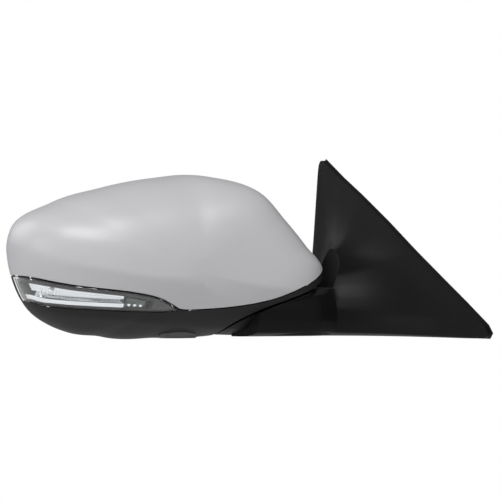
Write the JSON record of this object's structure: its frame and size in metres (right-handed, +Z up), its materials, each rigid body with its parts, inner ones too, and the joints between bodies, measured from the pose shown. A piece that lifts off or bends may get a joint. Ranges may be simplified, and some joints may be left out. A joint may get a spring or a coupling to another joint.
{
  "type": "car door mirror",
  "caption": "Right-hand car door mirror with primed cap, turn lamp, power fold and motor-adjusted convex glass.",
  "frame": {"origin": "centre of the bracket pad that seats on the door", "axes": "+X into the door, -Y towards the front of the car, +Z up"},
  "size_m": [0.305, 0.2874, 0.1432],
  "materials": {
    "primer_paint": "satin grey primer, ready to paint",
    "black_housing": "fine-grained black moulding",
    "black_moulding": "plain black moulding",
    "rubber": "matt",
    "clear_lens": "clear polycarbonate",
    "chrome": "vacuum-metallised",
    "mirror": "silvered convex glass",
    "cast_alloy": "die-cast zinc-aluminium, as cast",
    "zinc_steel": "zinc plated",
    "brass": "turned",
    "white_drive": "acetal",
    "heater_foil": "printed circuit on film or board"
  },
  "bodies": {
    "base": {"base_cover": "black_housing", "base_bracket": "cast_alloy", "door_gasket": "rubber", "door_stud_1": "zinc_steel", "door_stud_2": "zinc_steel", "door_stud_3": "zinc_steel", "locating_pin": "black_moulding", "harness_grommet": "rubber", "cover_screw_1": "zinc_steel", "cover_screw_2": "zinc_steel", "pivot_shaft": "zinc_steel", "thrust_washer": "brass", "detent_ring": "zinc_steel", "clutch_gear": "zinc_steel", "fold_spring": "zinc_steel", "spring_clip": "zinc_steel"},
    "head": {"upper_cap": "primer_paint", "lower_housing": "black_housing", "bezel": "black_housing", "head_frame": "black_moulding", "actuator_housing": "black_moulding", "fold_drive_housing": "black_moulding", "fold_drive_cover": "black_moulding", "lamp_body": "black_moulding", "puddle_body": "black_moulding", "lamp_lens": "clear_lens", "lamp_light_guide": "clear_lens", "puddle_lens": "clear_lens", "lamp_reflector": "chrome", "fold_motor": "zinc_steel", "pan_motor": "zinc_steel", "tilt_motor": "zinc_steel", "actuator_screw_1": "zinc_steel", "actuator_screw_2": "zinc_steel", "actuator_screw_3": "zinc_steel", "drive_screw_1": "zinc_steel", "drive_screw_2": "zinc_steel", "led_board": "heater_foil"},
    "gimbal": {"gimbal_ring": "zinc_steel"},
    "glass": {"mirror_glass": "mirror", "glass_heater": "heater_foil", "glass_carrier": "black_moulding"},
    "pan_rod": {"pan_plunger": "white_drive"},
    "tilt_rod": {"tilt_plunger": "white_drive"},
    "pinion": {"fold_pinion": "brass"}
  },
  "joints": [
    {"name": "fold", "type": "hinge", "parent": "base", "child": "head", "pos_m": [-0.065, 0.036, -0.035], "axis": [0, 0, 1], "range_deg": [-56, 0]},
    {"name": "pinion_spin", "type": "hinge", "parent": "head", "child": "pinion", "pos_m": [-0.08038, 0.04041, -0.035], "axis": [0, 0, 1], "range_deg": [-169, 0]},
    {"name": "glass_pan", "type": "hinge", "parent": "head", "child": "gimbal", "pos_m": [-0.15795, 0.08554, 0.023], "axis": [0, 0, 1], "range_deg": [-6, 6]},
    {"name": "glass_tilt", "type": "hinge", "parent": "gimbal", "child": "glass", "pos_m": [-0.15795, 0.08554, 0.023], "axis": [0.9613, -0.2756, 0], "range_deg": [-6, 6]},
    {"name": "pan_rod_slide", "type": "slide", "parent": "head", "child": "pan_rod", "axis": [0.2756, 0.9613, 0], "range_m": [-0.0032, 0.0032]},
    {"name": "tilt_rod_slide", "type": "slide", "parent": "head", "child": "tilt_rod", "axis": [0.2756, 0.9613, 0], "range_m": [-0.0032, 0.0032]}
  ],
  "couplings": [
    {"joint": "pinion_spin", "follows": "fold", "ratio": 3},
    {"joint": "pan_rod_slide", "follows": "glass_pan", "m_per_rad": -0.03},
    {"joint": "tilt_rod_slide", "follows": "glass_tilt", "m_per_rad": 0.03}
  ]
}
